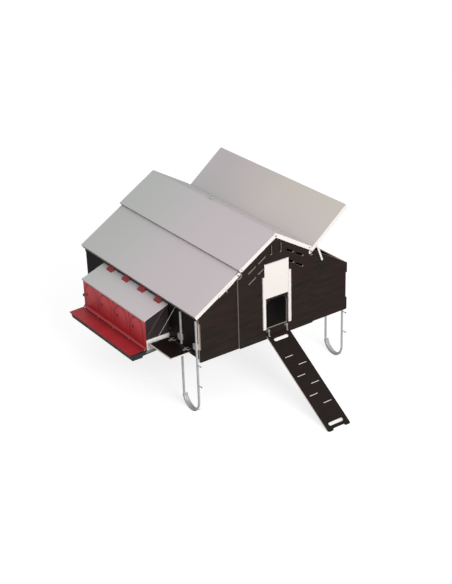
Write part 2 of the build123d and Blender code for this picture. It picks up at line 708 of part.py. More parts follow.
def shelf_hinges():
    """Fixed leaf with pin, and moving leaf with knuckle, of the shelf's two hinges."""
    fixed = []
    moving = []
    x = SHELF_AXIS_X + 1.0
    z = SHELF_Z + 3.0
    for y in (SHELF_Y[0] + 70, SHELF_Y[1] - 70):
        pin = rod((x, y - 30, z), (x, y + 30, z), 3.0)
        pin += rod((x, y - 30, z), (x, y - 16, z), 5.5) + rod((x, y + 16, z), (x, y + 30, z), 5.5)
        for lug in (y - 30, y + 16):
            pin += box(x + 1, -BODY_HALF - 2, lug, lug + 14, SHELF_Z, SHELF_Z + 2.5)
        fixed.append(pin)
        knuckle = rod((x, y - 15.5, z), (x, y + 15.5, z), 5.5)
        knuckle += box(x - 42, x - 1, y - 15.5, y + 15.5, SHELF_Z, SHELF_Z + 2.5)
        moving.append(knuckle - rod((x, y - 16, z), (x, y + 16, z), 3.06))
    return fixed, moving



def stay_eyes():
    """Small eye screw on the wall, and its twin on the shelf."""
    x, y, z = STAY_TOP
    top = rod((-BODY_HALF, y, z + 9), (x - 3, y, z + 9), 2.5)
    top += rod((x, y - 1.5, z + 9), (x, y + 1.5, z + 9), 6.0)
    ex, ey, ez = STAY_END
    low = rod((ex, ey, SHELF_Z), (ex, ey, ez - 7), 2.5)
    low += rod((ex, ey - 1.5, ez - 7.5), (ex, ey + 1.5, ez - 7.5), 4.0)
    return top, low


def latch_knob():
    """Turn knob on the wall between shelf and nest, and its screw."""
    y, z = 571.0, 191.0
    knob = rod((-BODY_HALF - 2, y, z), (-BODY_HALF - 12, y, z), 21.0, 4.06)
    knob += box(-BODY_HALF - 18, -BODY_HALF - 12, y - 5, y + 5, z - 20, z - 5)
    knob += box(-BODY_HALF - 18, -BODY_HALF - 12, y - 5, y + 5, z + 5, z + 20)
    screw = rod((-BODY_HALF, y, z), (-BODY_HALF - 13, y, z), 4.0)
    screw += rod((-BODY_HALF, y, z), (-BODY_HALF - 1.7, y, z), 8.0)
    return knob, screw


# ---------------------------------------------------------------- write the nodes
def write_body():
    centre = gable_centre(True)
    back = to_back(gable_centre(False))
    wing = gable_wing()
    save("front_gable_centre", centre)
    save("rear_gable_centre", back)
    save("front_gable_right", wing)
    save("front_gable_left", mirror_x(wing))
    save("rear_gable_right", to_back(wing))
    save("rear_gable_left", to_back(mirror_x(wing)))
    wall = side_wall()
    opening = box(-BODY_HALF - 1, -BODY_HALF + PLY + 1, NEST_Y + 14, NEST_END_Y - 14, 100, 452)
    save("left_wall", wall - opening)
    save("right_wall", mirror_x(wall))
    save("floor_panel", floor_panel())
    save("floor_joists", *floor_joists())
    save("perch_rails", *perch_rails())


def write_roof():
    save("roof_ridge", roof_ridge())
    save("ridge_screws", *ridge_screws())
    save("ridge_eye", ridge_eye())
    shut = lower_panel()
    save("roof_panel_left", mirror_x(shut))
    save("roof_panel_right", swing(shut, OPEN_ANGLE))
    bolts = [pivot_bolt(), to_back(pivot_bolt())]
    save("roof_pivot_bolts", *bolts, *[mirror_x(bolt) for bolt in bolts])
    save("stay_hook_bolts", hook_bolt(), mirror_x(hook_bolt()))
    save("roof_stay_right", stay_bar(open_rivet(), stay_open_angle()))
    save("roof_stay_left", mirror_x(stay_bar(panel_point(STAY_U, STAY_N), -PITCH)))


def write_door_and_ramp():
    rail = door_rail()
    save("door_rail_right", rail)
    save("door_rail_left", mirror_x(rail))
    save("pop_door", pop_door())
    save("ramp_board", ramp_board())
    save("ramp_cleats", *ramp_cleats())
    save("ramp_hooks", *ramp_hooks())
    save("ramp_eyes", *ramp_eyes())


def write_legs():
    front, back = leg_columns()
    inner_face = BODY_HALF - PLY
    legs = {
        "front_left": (front, -OUTSIDE_LEG, -BODY_HALF),
        "front_right": (front, INSIDE_LEG, inner_face),
        "rear_left": (back, -REAR_INSIDE_LEG, -inner_face),
        "rear_right": (back, OUTSIDE_LEG, BODY_HALF),
    }
    clamps = []
    bolts = []
    for name, (columns, x, wall_x) in legs.items():
        save(f"leg_{name}", leg(columns, x))
        save(f"stop_bolts_{name}", *stop_bolts(columns, x))
        clamps += leg_clamps(columns, x, wall_x)
        bolts += clamp_bolts(columns, x, wall_x)
    save("leg_clamps", *clamps)
    save("clamp_bolts", *bolts)


def write_nest():
    thin = 2.0
    ends = [nest_end(NEST_Y, NEST_Y + thin, END_LOW_Z, 3)]
    ends.append(nest_end(NEST_END_Y - thin, NEST_END_Y, END_LOW_Z, 3))
    save("nest_ends", *ends)
    skirts = []
    for y0 in (NEST_Y, NEST_END_Y - thin):
        skirts.append(box(NEST_OUT_X, -BODY_HALF, y0, y0 + thin, SKIRT_LOW_Z, END_LOW_Z))
    save("nest_skirts", *skirts)
    partitions = []
    for index in range(1, CELLS):
        y = NEST_Y + index * CELL
        partitions.append(nest_end(y - 1, y + 1, SKIRT_LOW_Z, 3))
    save("nest_partitions", *partitions)
    save("nest_fronts", *[nest_front(index) for index in range(CELLS)])
    for index in range(CELLS):
        save(f"egg_tray_{index + 1}", egg_tray(index))
    save("nest_mats", *nest_mats())
    save("tray_rails", *tray_rails())
    save("egg_cover", egg_cover())
    save("cover_pin", cover_pin())
    save("nest_lid", nest_lid())
    save("lid_hinges", *lid_hinges())
    save("lid_rod", lid_rod())
    save("nest_end_knob", end_knob())


def write_shelf():
    save("shelf_sill", shelf_sill())
    save("side_shelf", shelf_board())
    fixed, moving = shelf_hinges()
    save("shelf_hinge_pins", *fixed)
    top_eye, low_eye = stay_eyes()
    save("shelf_fittings", *moving, low_eye)
    save("shelf_stay_cable", rod(STAY_TOP, STAY_END, 2.0))
    knob, screw = latch_knob()
    save("latch_knob", knob)
    save("left_wall_screws", top_eye, screw)


os.makedirs("parts", exist_ok=True)
write_body()
write_roof()
write_door_and_ramp()
write_legs()
write_nest()
write_shelf()
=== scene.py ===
import math

import bmesh
import bpy
from mathutils import Matrix, Vector


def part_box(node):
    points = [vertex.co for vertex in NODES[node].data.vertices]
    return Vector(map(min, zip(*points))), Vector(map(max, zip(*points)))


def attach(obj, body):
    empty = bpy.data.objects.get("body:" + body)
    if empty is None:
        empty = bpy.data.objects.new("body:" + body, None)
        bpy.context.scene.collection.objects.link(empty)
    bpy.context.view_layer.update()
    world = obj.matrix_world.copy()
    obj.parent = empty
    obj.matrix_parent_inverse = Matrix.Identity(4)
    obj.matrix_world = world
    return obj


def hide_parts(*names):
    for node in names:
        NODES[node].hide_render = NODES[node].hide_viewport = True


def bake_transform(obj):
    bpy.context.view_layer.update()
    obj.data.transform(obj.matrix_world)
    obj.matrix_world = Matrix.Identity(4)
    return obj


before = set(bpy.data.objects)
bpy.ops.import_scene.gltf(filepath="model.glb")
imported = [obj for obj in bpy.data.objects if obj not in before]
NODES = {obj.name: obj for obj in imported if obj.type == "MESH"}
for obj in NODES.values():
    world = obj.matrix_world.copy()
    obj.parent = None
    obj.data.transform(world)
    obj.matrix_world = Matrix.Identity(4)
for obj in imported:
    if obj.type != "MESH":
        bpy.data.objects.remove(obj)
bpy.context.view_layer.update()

# Driving sizes, in the coop's own millimetres: x across the gable, y from its face to the back, z up.
MM = 0.001
GABLE_LOW, GABLE_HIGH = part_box("front_gable_centre")
SHIFT = Vector(((GABLE_LOW[0] + GABLE_HIGH[0]) / 2, GABLE_LOW[1], GABLE_LOW[2]))
RAMP_SLOPE = math.radians(33.45)
CELL = 328.0                     # width of a nest cell
CELLS = 4
NEST_Y = 599.0                   # front end of the nest
NEST_OUT_X = -1290.0             # outer face of the nest's frame
LID_WALL_X = -1000.0             # the lid's top line at the wall
LID_WALL_Z = 475.0
LID_FALL = 0.366                 # fall of the lid for each unit outwards
LEGS = ("front_left", "front_right", "rear_left", "rear_right")


# ---------------------------------------------------------------- small helpers
def at(x, y, z):
    """The place in the frame of a point in the coop's own millimetres."""
    return SHIFT + Vector((x, y, z)) * MM


def lid_z(x):
    """Height of the lid's top line at x, in millimetres."""
    return LID_WALL_Z + (x - LID_WALL_X) * LID_FALL


def smooth(a, b, v):
    """Smooth step from 0 at a to 1 at b."""
    t = min(1.0, max(0.0, (v - a) / (b - a)))
    return t * t * (3 - 2 * t)


def linear(r, g, b):
    """Linear colour, with alpha, from 8-bit display values."""
    out = []
    for value in (r, g, b):
        c = value / 255
        out.append(c / 12.92 if c <= 0.04045 else ((c + 0.055) / 1.055) ** 2.4)
    return (*out, 1.0)


def tint(colour, k):
    """Linear colour of 8-bit display values, each multiplied by k."""
    return linear(*[min(255, c * k) for c in colour])


def shown(name, mesh):
    """A new object in the scene with that mesh."""
    piece = bpy.data.objects.new(name, mesh)
    bpy.context.scene.collection.objects.link(piece)
    return piece


def shaded(name, bm, material, angle):
    """An object from a bmesh, smooth except across edges sharper than the angle in degrees."""
    bmesh.ops.recalc_face_normals(bm, faces=bm.faces)
    for face in bm.faces:
        face.smooth = True
    for edge in bm.edges:
        if len(edge.link_faces) == 2 and edge.calc_face_angle() > math.radians(angle):
            edge.smooth = False
    mesh = bpy.data.meshes.new(name)
    bm.to_mesh(mesh)
    bm.free()
    mesh.materials.append(material)
    return shown(name, mesh)


def join_rings(bm, low, high):
    """Quads between two rings of as many vertices."""
    for side in range(len(low)):
        other = (side + 1) % len(low)
        bm.faces.new((low[side], low[other], high[other], high[side]))


def close_sheet(bm, front, back):
    """Faces over two equal grids of vertices, and round their edges."""
    rows = len(front) - 1
    across = len(front[0]) - 1
    for row in range(rows):
        for step in range(across):
            for low, high in ((front[row], front[row + 1]), (back[row], back[row + 1])):
                bm.faces.new((low[step], low[step + 1], high[step + 1], high[step]))
        for step in (0, across):
            bm.faces.new((front[row][step], back[row][step], back[row + 1][step], front[row + 1][step]))
    for row in (0, rows):
        for step in range(across):
            bm.faces.new((front[row][step], front[row][step + 1], back[row][step + 1], back[row][step]))


# ---------------------------------------------------------------- materials
EVEN = (1.0, 1.0, 1.0)
FACING = (0.90, 0.96)            # cosines between which a surface starts to face an axis
# Pale white: the roof stays' own coating, and painted front light on the roof's folded end flange faces.
STAY_WHITE_AND_FLANGE_LIGHT = (232, 227, 222)
BLACK_FILM = (22, 20, 20)


class Shader:
    """A material whose nodes are added one call at a time."""

    def __init__(self, name):
        self.mat = bpy.data.materials.new(name)
        self.mat.use_nodes = True
        self.tree = self.mat.node_tree
        self.tree.nodes.clear()
        self.out = self.add("ShaderNodeOutputMaterial")
        self.bsdf = self.add("ShaderNodeBsdfPrincipled")
        self.link(self.bsdf.outputs[0], self.out.inputs["Surface"])
        self.coord = self.add("ShaderNodeTexCoord")

    def add(self, kind, **settings):
        node = self.tree.nodes.new(kind)
        for key, value in settings.items():
            setattr(node, key, value)
        return node

    def link(self, a, b):
        self.tree.links.new(a, b)

    def put(self, node, name, value):
        """Sets or links an input."""
        if isinstance(value, bpy.types.NodeSocket):
            self.link(value, node.inputs[name])
        else:
            node.inputs[name].default_value = value

    def math(self, operation, a, b=0.0):
        node = self.add("ShaderNodeMath", operation=operation)
        self.put(node, 0, a)
        self.put(node, 1, b)
        return node.outputs[0]

    def stretched(self, scale):
        """Object coordinates multiplied by a scale on each axis."""
        node = self.add("ShaderNodeMapping")
        self.link(self.coord.outputs["Object"], node.inputs["Vector"])
        node.inputs["Scale"].default_value = scale
        return node.outputs[0]

    def noise(self, scale, detail, rough=0.5, stretch=EVEN):
        node = self.add("ShaderNodeTexNoise")
        self.link(self.stretched(stretch), node.inputs["Vector"])
        node.inputs["Scale"].default_value = scale
        node.inputs["Detail"].default_value = detail
        node.inputs["Roughness"].default_value = rough
        return node.outputs["Fac"]

    def ramp(self, value, low, high, to_low=0.0, to_high=1.0):
        """Maps low to high onto to_low to to_high, and holds it outside them."""
        node = self.add("ShaderNodeMapRange")
        self.put(node, "Value", value)
        node.inputs["From Min"].default_value = low
        node.inputs["From Max"].default_value = high
        node.inputs["To Min"].default_value = to_low
        node.inputs["To Max"].default_value = to_high
        return node.outputs[0]

    def mix(self, factor, a, b):
        node = self.add("ShaderNodeMix", data_type="RGBA")
        self.put(node, "Factor", factor)
        for socket, value in ((node.inputs[6], a), (node.inputs[7], b)):
            if isinstance(value, bpy.types.NodeSocket):
                self.link(value, socket)
            else:
                socket.default_value = value
        return node.outputs[2]

    def along(self, axis, absolute=True):
        """Dot product of the object-space normal with an axis."""
        node = self.add("ShaderNodeVectorMath", operation="DOT_PRODUCT")
        self.link(self.coord.outputs["Normal"], node.inputs[0])
        node.inputs[1].default_value = axis
        value = node.outputs["Value"]
        return self.math("ABSOLUTE", value) if absolute else value

    def depth(self, axis):
        """Object-space distance along an axis."""
        node = self.add("ShaderNodeVectorMath", operation="DOT_PRODUCT")
        self.link(self.coord.outputs["Object"], node.inputs[0])
        node.inputs[1].default_value = axis
        return node.outputs["Value"]

    def bump(self, height, strength, distance):
        node = self.add("ShaderNodeBump")
        node.inputs["Strength"].default_value = strength
        node.inputs["Distance"].default_value = distance
        self.link(height, node.inputs["Height"])
        self.link(node.outputs[0], self.bsdf.inputs["Normal"])

    def finish(self, colour, roughness, metallic=0.0, specular=0.5, coat=0.0):
        self.put(self.bsdf, "Base Color", colour)
        self.put(self.bsdf, "Roughness", roughness)
        self.bsdf.inputs["Metallic"].default_value = metallic
        self.bsdf.inputs["Specular IOR Level"].default_value = specular
        self.bsdf.inputs["Coat Weight"].default_value = coat
        return self.mat


def grain_stretch(grain, across, along):
    """Noise scale on each axis for streaks that run along the grain axis."""
    return tuple(along if abs(g) > 0.5 else across for g in grain)


def ply(name, face, grain, dark, edge):
    """Film-faced plywood: grained dark film on both faces, bare layered wood on the edges."""
    layer_pitch = 0.0036
    s = Shader(name)
    streak = s.noise(9.0, 6.0, 0.62, grain_stretch(grain, 7.0, 0.45))
    lines = s.noise(9.0, 3.0, 0.6, grain_stretch(grain, 60.0, 2.0))
    cloud = s.noise(1.6, 2.0)
    film = s.mix(s.ramp(streak, 0.30, 0.72), tint(dark, 0.62), tint(dark, 1.36))
    film = s.mix(s.ramp(lines, 0.35, 0.65, 0.0, 0.35), film, tint(dark, 0.70))
    warm = linear(dark[0] * 1.25, dark[1] * 0.92, dark[2] * 0.86)
    film = s.mix(s.ramp(cloud, 0.40, 0.65, 0.0, 0.45), film, warm)
    layer = s.math("SINE", s.math("MULTIPLY", s.depth(face), 2 * math.pi / layer_pitch))
    wood = s.mix(s.ramp(layer, -0.4, 0.9, 0.0, 0.6), linear(*edge), tint(edge, 0.72))
    wood = s.mix(s.ramp(streak, 0.4, 0.7, 0.0, 0.3), wood, tint(edge, 0.85))
    colour = s.mix(s.ramp(s.along(face), *FACING), wood, film)
    s.bump(s.math("ADD", lines, streak), 0.35, 0.0006)
    return s.finish(colour, s.ramp(lines, 0.3, 0.7, 0.46, 0.62), specular=0.20)


def roof_coating(name, paint_flange_light=True):
    """Grey coated sheet: cool at the back, warm to the right, which partly stands in for painted
    reflection; painted shade on faces turned down; painted front light makes any folded end flange pale.
    """
    # The tone shift from front to back and left to right is partly the sheet's own tone and partly painted
    # reflection.
    front_to_back = (0.30, 1.35)
    left_to_right = (0.55, 1.10)
    s = Shader(name)
    place = s.add("ShaderNodeSeparateXYZ")
    s.link(s.coord.outputs["Object"], place.inputs[0])
    back = s.ramp(place.outputs["Y"], *front_to_back)
    side = s.ramp(place.outputs["X"], *left_to_right)
    left = s.mix(back, linear(203, 194, 197), linear(192, 194, 192))
    right = s.mix(back, linear(205, 198, 190), linear(198, 189, 192))
    tone = s.mix(side, left, right)
    cloud = s.noise(0.9, 1.0)
    tone = s.mix(s.ramp(cloud, 0.35, 0.7, 0.0, 0.12), tone, linear(176, 172, 172))
    grain = s.noise(1400.0, 2.0)
    tone = s.mix(s.ramp(grain, 0.4, 0.7, 0.0, 0.03), tone, linear(160, 155, 155))
    # Painted shade: faces turned down, such as the ridge's drip lip, are painted darker.
    painted_shade_down = s.ramp(s.along((0, 0, -1), False), 0.25, 0.40)
    tone = s.mix(painted_shade_down, tone, linear(150, 142, 144))
    # Painted light: faces turned to the front, the folded end flange faces, are painted pale as if lit from
    # the front.
    if paint_flange_light:
        tone = s.mix(s.ramp(s.along((0, 1, 0)), *FACING), tone, linear(*STAY_WHITE_AND_FLANGE_LIGHT))
    waves = s.noise(3.0, 1.0)
    s.bump(s.math("ADD", s.math("MULTIPLY", waves, 8.0), grain), 0.04, 0.0006)
    return s.finish(tone, s.ramp(cloud, 0.3, 0.7, 0.30, 0.40))


def painted(name, colour, rough, vary=0.04, metallic=0.0):
    """Coated sheet metal with faint unevenness and a very fine orange-peel."""
    s = Shader(name)
    cloud = s.noise(2.0, 3.0)
    grain = s.noise(900.0, 2.0)
    tone = s.mix(s.ramp(cloud, 0.3, 0.7), tint(colour, 1 - vary), linear(*colour))
    s.bump(grain, 0.08, 0.0003)
    return s.finish(tone, s.ramp(cloud, 0.3, 0.7, rough, rough + 0.08), metallic)


def galvanised(name, colour, metallic, rough):
    """Zinc: spangle of slightly different greys and dull runs."""
    s = Shader(name)
    cells = s.add("ShaderNodeTexVoronoi")
    s.link(s.stretched(EVEN), cells.inputs["Vector"])
    cells.inputs["Scale"].default_value = 90.0
    spangle = s.math("MULTIPLY", cells.outputs["Color"], 1.0)
    cloud = s.noise(12.0, 3.0, stretch=(1.0, 1.0, 0.4))
    tone = s.mix(s.ramp(spangle, 0.0, 1.0), tint(colour, 0.86), linear(*colour))
    tone = s.mix(s.ramp(cloud, 0.4, 0.7, 0.0, 0.4), tone, tint(colour, 0.78))
    s.bump(spangle, 0.05, 0.0003)
    return s.finish(tone, s.ramp(cloud, 0.3, 0.7, rough, rough + 0.16), metallic)


def plastic(name, colour, rough, painted_inward_shade=None):
    """Moulded plastic with fine texture. With painted_inward_shade, it turns to that darker colour towards
    the nest, as painted shade.
    """
    s = Shader(name)
    cloud = s.noise(5.0, 3.0)
    grain = s.noise(700.0, 2.0)
    tone = s.mix(s.ramp(cloud, 0.3, 0.7), tint(colour, 0.88), linear(*colour))
    if painted_inward_shade:
        # Painted shade: darker where the cover runs in towards the nest fronts.
        edge = at(NEST_OUT_X, 0, 0).x
        tone = s.mix(s.ramp(s.depth((1, 0, 0)), edge - 0.10, edge - 0.025), tone, linear(*painted_inward_shade))
    s.bump(grain, 0.12, 0.0004)
    return s.finish(tone, s.ramp(cloud, 0.3, 0.7, rough, rough + 0.1))


def moulded_front(name, high, low, groove_shade_paint):
    """Red moulding, painted paler at the top as painted light, and painted darker as painted shade where
    the mesh's groove-shade attribute says so.
    """
    s = Shader(name)
    shade = s.add("ShaderNodeAttribute")
    shade.attribute_name = "groove_shade_paint"
    grain = s.noise(700.0, 2.0)
    cloud = s.noise(6.0, 3.0)
    # Painted light: paler towards the top of the front.
    tone = s.mix(s.ramp(s.depth((0, 0, 1)), at(0, 0, 60).z, at(0, 0, 340).z), linear(*low), linear(*high))
    tone = s.mix(s.ramp(cloud, 0.35, 0.65, 0.0, 0.15), tone, linear(*low))
    # Painted shade in the grooves, from the mesh attribute.
    tone = s.mix(shade.outputs["Fac"], tone, linear(*groove_shade_paint))
    s.bump(grain, 0.12, 0.0004)
    return s.finish(tone, s.ramp(cloud, 0.3, 0.7, 0.34, 0.44), coat=0.1)


def timber(name, colour, grain):
    """Planed softwood."""
    s = Shader(name)
    lines = s.noise(3.0, 4.0, 0.6, grain_stretch(grain, 30.0, 1.5))
    tone = s.mix(s.ramp(lines, 0.3, 0.7), tint(colour, 0.72), linear(*colour))
    s.bump(lines, 0.3, 0.0006)
    return s.finish(tone, 0.6, specular=0.3)


RAMP_FACE = (0, -math.sin(RAMP_SLOPE), math.cos(RAMP_SLOPE))
GREY_EDGE = (186, 172, 160)
PALE_EDGE = (246, 232, 220)
# Each board group gets its own film colour: palest on the front gable, darker on the side walls, ramp,
# floor and shelf. These are lit and shaded copies of one film, so painted light and shade; the floor and
# shelf darkness also stands in for painted reflection of the dark walls.
GABLE_PLY = ply("ply_gable", (0, 1, 0), (1, 0, 0), (35, 28, 24), GREY_EDGE)
WALL_PLY = ply("ply_wall", (1, 0, 0), (0, 1, 0), (20, 12, 9), GREY_EDGE)
FLAT_PLY = ply("ply_flat", (0, 0, 1), (0, 1, 0), (19, 7, 5), PALE_EDGE)
SILL_PLY = ply("ply_sill", (0, 0, 1), (0, 1, 0), (34, 24, 20), (58, 46, 40))
RAMP_PLY = ply("ply_ramp", RAMP_FACE, (1, 0, 0), (22, 14, 11), PALE_EDGE)
ROOF = roof_coating("roof_coating")
LID_GREY = roof_coating("lid_coating", paint_flange_light=False)
WHITE = painted("white_coating", (232, 226, 220), rough=0.40, vary=0.02)
STAY_WHITE = painted("stay_coating", STAY_WHITE_AND_FLANGE_LIGHT, rough=0.4, vary=0.03)
ZINC = galvanised("zinc", (206, 206, 206), metallic=0.25, rough=0.34)
# Near-white on the nest skirts: partly the sheet's bright zinc, partly painted reflection of the white
# surroundings.
BRIGHT_ZINC_AND_REFLECTION = galvanised("zinc_bright_and_reflection", (252, 248, 242), metallic=0.1, rough=0.40)
PLATED = galvanised("zinc_plated", (176, 174, 172), metallic=0.4, rough=0.28)
CABLE = galvanised("cable_wire", (226, 224, 222), metallic=0.1, rough=0.4)
NEST_GREY = painted("nest_sheet", (58, 50, 50), rough=0.28, metallic=0.25)
# The egg cover's darker red towards the nest is painted shade.
RED = plastic("red_plastic", (174, 28, 38), rough=0.42, painted_inward_shade=(118, 16, 24))
# Red fronts: the paler top colour is painted light, and the last colour is the painted shade in the
# grooves.
RED_FRONT = moulded_front("red_front", (232, 84, 92), (172, 26, 36), (124, 18, 26))
HINGE_RED = plastic("hinge_red", (150, 40, 46), rough=0.45)
DARK_PLASTIC = plastic("dark_plastic", (40, 41, 40), rough=0.45)
MAT_PLASTIC = plastic("mat_plastic", (70, 72, 72), rough=0.6)
# Black for the lid rod and lid hinge screws, and painted shade on the finger holes' walls.
BLACK_AND_HOLE_SHADE = painted("black_coating_and_hole_shade", BLACK_FILM, rough=0.4)
GRIP = painted("grip_strip", (214, 204, 196), rough=0.7)
PINE = timber("pine", (196, 160, 118), (0, 1, 0))

# Material, bevel width in millimetres, and the CAD nodes that have them.
LOOKS = (
    (GABLE_PLY, 1.0, "front_gable_centre front_gable_left front_gable_right"),
    (GABLE_PLY, 1.0, "rear_gable_centre rear_gable_left rear_gable_right"),
    (WALL_PLY, 1.0, "left_wall right_wall"),
    (FLAT_PLY, 1.0, "floor_panel side_shelf"),
    (SILL_PLY, 1.0, "shelf_sill"),
    (RAMP_PLY, 1.2, "ramp_board"),
    (ROOF, 0.5, "roof_ridge roof_panel_left roof_panel_right"),
    (LID_GREY, 0.5, "nest_lid"),
    (STAY_WHITE, 0.5, "roof_stay_left roof_stay_right"),
    (WHITE, 0.5, "pop_door door_rail_left door_rail_right"),
    (ZINC, 0.5, "leg_clamps " + " ".join("leg_" + leg for leg in LEGS)),
    (BRIGHT_ZINC_AND_REFLECTION, 0.3, "nest_skirts"),
    (PLATED, 0.5, "ridge_screws ridge_eye roof_pivot_bolts stay_hook_bolts"),
    (PLATED, 0.5, "clamp_bolts ramp_hooks ramp_eyes shelf_hinge_pins shelf_fittings shelf_stay_cable"),
    (PLATED, 0.4, "left_wall_screws cover_pin tray_rails " + " ".join("stop_bolts_" + leg for leg in LEGS)),
    (NEST_GREY, 0.3, "nest_ends nest_partitions"),
    (RED, 0.5, "egg_cover"),
    (HINGE_RED, 1.0, "lid_hinges"),
    (RED_FRONT, 0.8, "nest_fronts"),
    (DARK_PLASTIC, 0.8, "egg_tray_1 egg_tray_2 egg_tray_3 egg_tray_4 nest_end_knob latch_knob"),
    (MAT_PLASTIC, 0.5, "nest_mats"),
    (BLACK_AND_HOLE_SHADE, 0.4, "lid_rod"),
    (GRIP, 0.8, "ramp_cleats"),
    (PINE, 1.5, "floor_joists perch_rails"),
)


def soften(piece, width):
    """Small rounded arrises, with the width in millimetres."""
    bevel = piece.modifiers.new("bevel", "BEVEL")
    bevel.width = width * MM
    bevel.segments = 2
    bevel.limit_method = "ANGLE"
    bevel.angle_limit = math.radians(40)
    bevel.harden_normals = True


def dress_nodes():
    """Gives each CAD node its material and its arrises."""
    for material, width, names in LOOKS:
        for name in names.split():
            for slot in NODES[name].material_slots:
                slot.material = material
            soften(NODES[name], width)


dress_nodes()


# ---------------------------------------------------------------- nest fronts
FRONT_X = -1297.0                # plain face of a moulded front
FRONT_BACK_X = -1290.3
FRONT_LOW = 16.0
FRONT_TOP = 362.0
FRONT_GAP = 0.8                  # from a front's edge to its cell's
END_OVERHANG = 3.0               # of the last front, past its cell
FRONT_ROWS = 86
FRONT_ACROSS = 82
ARCH_SPRING = 214.0              # height where the arch's sides turn into its top
RIB = (150.0, 132.0, 5.0)        # radii where the rise starts and ends, and its height
DISH = (132.0, 108.0, 3.8)
CROWN = (108.0, 10.0, 3.6)
FOOT_HIGH = 34.0
FOOT_OUT = 19.4
FOOT_CURVE = 2.2
EDGE_ROUND = (7.0, 3.0)          # how far in, and how deep
FINGER_PLACE = (250.0, 192.0)    # middle of a finger hole, from the cell's edge and upwards
FINGER_R = 11.0
FINGER_STRAIGHT = 7.0            # half of the hole's straight part
FINGER_SIDES = 32
CUT_REACH = (-1320.0, -1280.0)


def arch_distance(y, z):
    """Distance from the arch's middle line, or from its centre above the spring."""
    return math.hypot(y - CELL / 2, max(0.0, z - ARCH_SPRING))


def front_relief(y, z):
    """How far the moulded front stands out of its plate: arched rib, dished middle and coved foot."""
    d = arch_distance(y, z)
    rib, dish, crown = (high * smooth(start, end, d) for start, end, high in (RIB, DISH, CROWN))
    arch = max(rib - dish + crown, 0.0) * smooth(28, 70, z)
    foot = FOOT_OUT * (1 - min(1.0, (z - FRONT_LOW) / FOOT_HIGH)) ** FOOT_CURVE
    reach, deep = EDGE_ROUND
    rounding = deep * (1 - smooth(0, reach, min(y, CELL - y)))
    return arch + foot - rounding * smooth(20, 60, z)


def painted_groove_shade(y, z):
    """Painted shade, 0 to 1, in the groove round the arch and beside the cell's edges."""
    groove = math.exp(-((arch_distance(y, z) - 124) / 18) ** 2) * 0.5
    edge = math.exp(-(min(y, CELL - y) / 8) ** 2) * 0.6
    return max(groove, edge) * smooth(40, 150, z)


def finger_cutter(y, z):
    """Round-ended prism for a finger hole."""
    ring = []
    for index in range(FINGER_SIDES):
        angle = 2 * math.pi * index / FINGER_SIDES
        lift = FINGER_STRAIGHT if math.sin(angle) > 0 else -FINGER_STRAIGHT
        ring.append((y + FINGER_R * math.cos(angle), z + lift + FINGER_R * math.sin(angle)))
    bm = bmesh.new()
    outer, painted_inward_shade = ([bm.verts.new(at(x, a, b)) for a, b in ring] for x in CUT_REACH)
    bm.faces.new(outer)
    bm.faces.new(painted_inward_shade[::-1])
    join_rings(bm, outer, painted_inward_shade)
    bmesh.ops.recalc_face_normals(bm, faces=bm.faces)
    mesh = bpy.data.meshes.new("cutter")
    bm.to_mesh(mesh)
    bm.free()
    # The cutter's black goes onto the hole's walls as painted shade.
    mesh.materials.append(BLACK_AND_HOLE_SHADE)
    return shown("cutter", mesh)


def cut_finger_hole(piece, y, z):
    """Cuts the hole for good; its walls take the black as painted shade inside the hole."""
    cutter = finger_cutter(y, z)
    cut = piece.modifiers.new("finger_hole", "BOOLEAN")
    cut.operation = "DIFFERENCE"
    cut.solver = "EXACT"
    cut.material_mode = "TRANSFER"
    cut.object = cutter
    graph = bpy.context.evaluated_depsgraph_get()
    mesh = bpy.data.meshes.new_from_object(piece.evaluated_get(graph))
    piece.modifiers.clear()
    piece.data = mesh
    bpy.data.objects.remove(cutter)


def nest_front(index):
    """One moulded front as a closed shell, with its finger hole."""
    start = NEST_Y + index * CELL
    y_first = start + FRONT_GAP
    y_last = start + CELL + (END_OVERHANG if index == CELLS - 1 else -FRONT_GAP)
    bm = bmesh.new()
    # Painted shade amounts for the grooves, stored on the vertices.
    shade = bm.verts.layers.float.new("groove_shade_paint")
    face = []
    back = []
    for row in range(FRONT_ROWS + 1):
        z = FRONT_LOW + (FRONT_TOP - FRONT_LOW) * row / FRONT_ROWS
        face.append([])
        back.append([])
        for step in range(FRONT_ACROSS + 1):
            local = CELL * step / FRONT_ACROSS
            y = y_first + (y_last - y_first) * step / FRONT_ACROSS
            vertex = bm.verts.new(at(FRONT_X - front_relief(local, z), y, z))
            vertex[shade] = painted_groove_shade(local, z)
            face[-1].append(vertex)
            back[-1].append(bm.verts.new(at(FRONT_BACK_X, y, z)))
    close_sheet(bm, face, back)
    piece = shaded(f"nest_front_{index + 1}", bm, RED_FRONT, 35)
    cut_finger_hole(piece, start + FINGER_PLACE[0], FINGER_PLACE[1])
    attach(piece, "coop_body")
    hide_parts("nest_fronts")


for cell in range(CELLS):
    nest_front(cell)


# ---------------------------------------------------------------- screw heads
RAIL_SCREW_X = 180.0             # either side of the door's middle
RAIL_SCREW_Z = (150, 300, 450, 600, 726)
HINGE_MIDDLE = 140.0             # of a lid hinge, from its cell's edge
HINGE_SCREWS = (-36, 0, 36)      # from the hinge's middle
HINGE_SCREW_X = -1042.0
LEAF_THICK = 7.0
DOME_SIDES = 20
DOME_RINGS = 4


